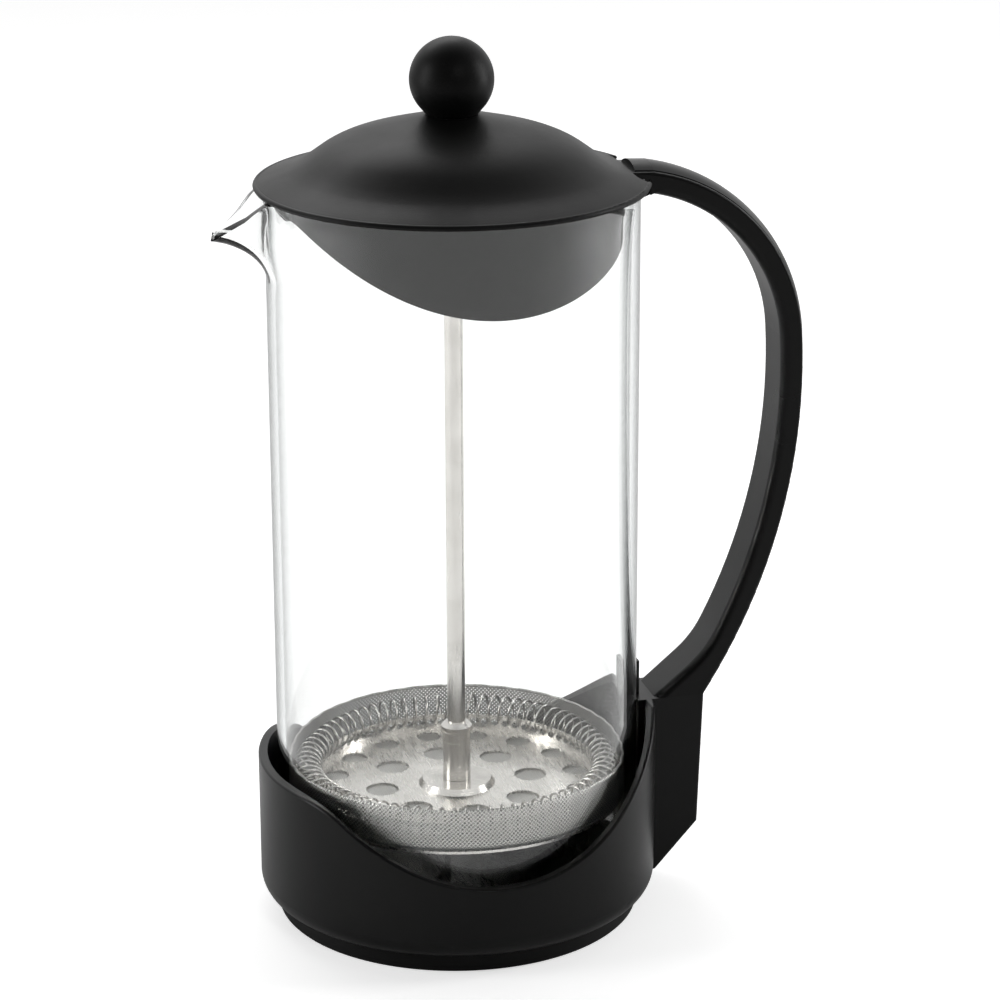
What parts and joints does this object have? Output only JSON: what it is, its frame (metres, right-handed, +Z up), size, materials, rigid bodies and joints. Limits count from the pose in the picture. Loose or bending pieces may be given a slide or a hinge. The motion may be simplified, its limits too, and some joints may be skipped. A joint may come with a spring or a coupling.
{
  "type": "french press",
  "caption": "Coffee press: a glass beaker with a spout in a moulded holder with a bow handle, a domed lid, and a plunger rod that carries a spring-edged mesh filter.",
  "frame": {"origin": "centre of the foot's flat underside, on the axis of the beaker", "axes": "+Z up along the beaker's axis, +X towards the handle, -X towards the spout"},
  "size_m": [0.1564, 0.1062, 0.2354],
  "materials": {
    "holder_plastic": "satin moulded polypropylene, black",
    "foot_plastic": "matt moulded polypropylene, black",
    "handle_plastic": "satin moulded polypropylene, black",
    "lid_plastic": "fine spark-eroded grain, matt black",
    "guard_plastic": "smooth moulded polypropylene, dark grey black",
    "bush_plastic": "smooth, black",
    "knob_plastic": "fine grain, matt black",
    "brass_insert": "turned",
    "screw_steel": "zinc plated",
    "rod_steel": "polished stainless steel",
    "turned_steel": "turned stainless steel",
    "plate_steel": "pressed stainless steel sheet",
    "wire_steel": "drawn stainless steel wire",
    "mesh_steel": "woven stainless steel mesh",
    "glass": "clear blown borosilicate glass"
  },
  "bodies": {
    "holder": {"base_holder": "holder_plastic", "base_foot": "foot_plastic", "handle": "handle_plastic", "handle_cover": "handle_plastic", "handle_screw": "screw_steel", "beaker": "glass"},
    "lid": {"lid_dome": "lid_plastic", "splash_guard": "guard_plastic", "rod_bush": "bush_plastic"},
    "plunger": {"knob": "knob_plastic", "knob_insert": "brass_insert", "plunger_rod": "rod_steel"},
    "filter": {"sleeve_nut": "turned_steel", "centre_stud": "turned_steel", "hub_washer": "turned_steel", "spiral_plate": "plate_steel", "coil_spring": "wire_steel", "mesh_screen": "mesh_steel", "cross_plate": "plate_steel"}
  },
  "joints": [
    {"name": "lid_lift", "type": "slide", "parent": "holder", "child": "lid", "axis": [0, 0, 1], "range_m": [0, 0.18]},
    {"name": "plunger_slide", "type": "slide", "parent": "lid", "child": "plunger", "axis": [0, 0, 1], "range_m": [0, 0.125]},
    {"name": "filter_turn", "type": "hinge", "parent": "plunger", "child": "filter", "pos_m": [0, 0, 0.041], "axis": [0, 0, 1], "continuous": true}
  ]
}
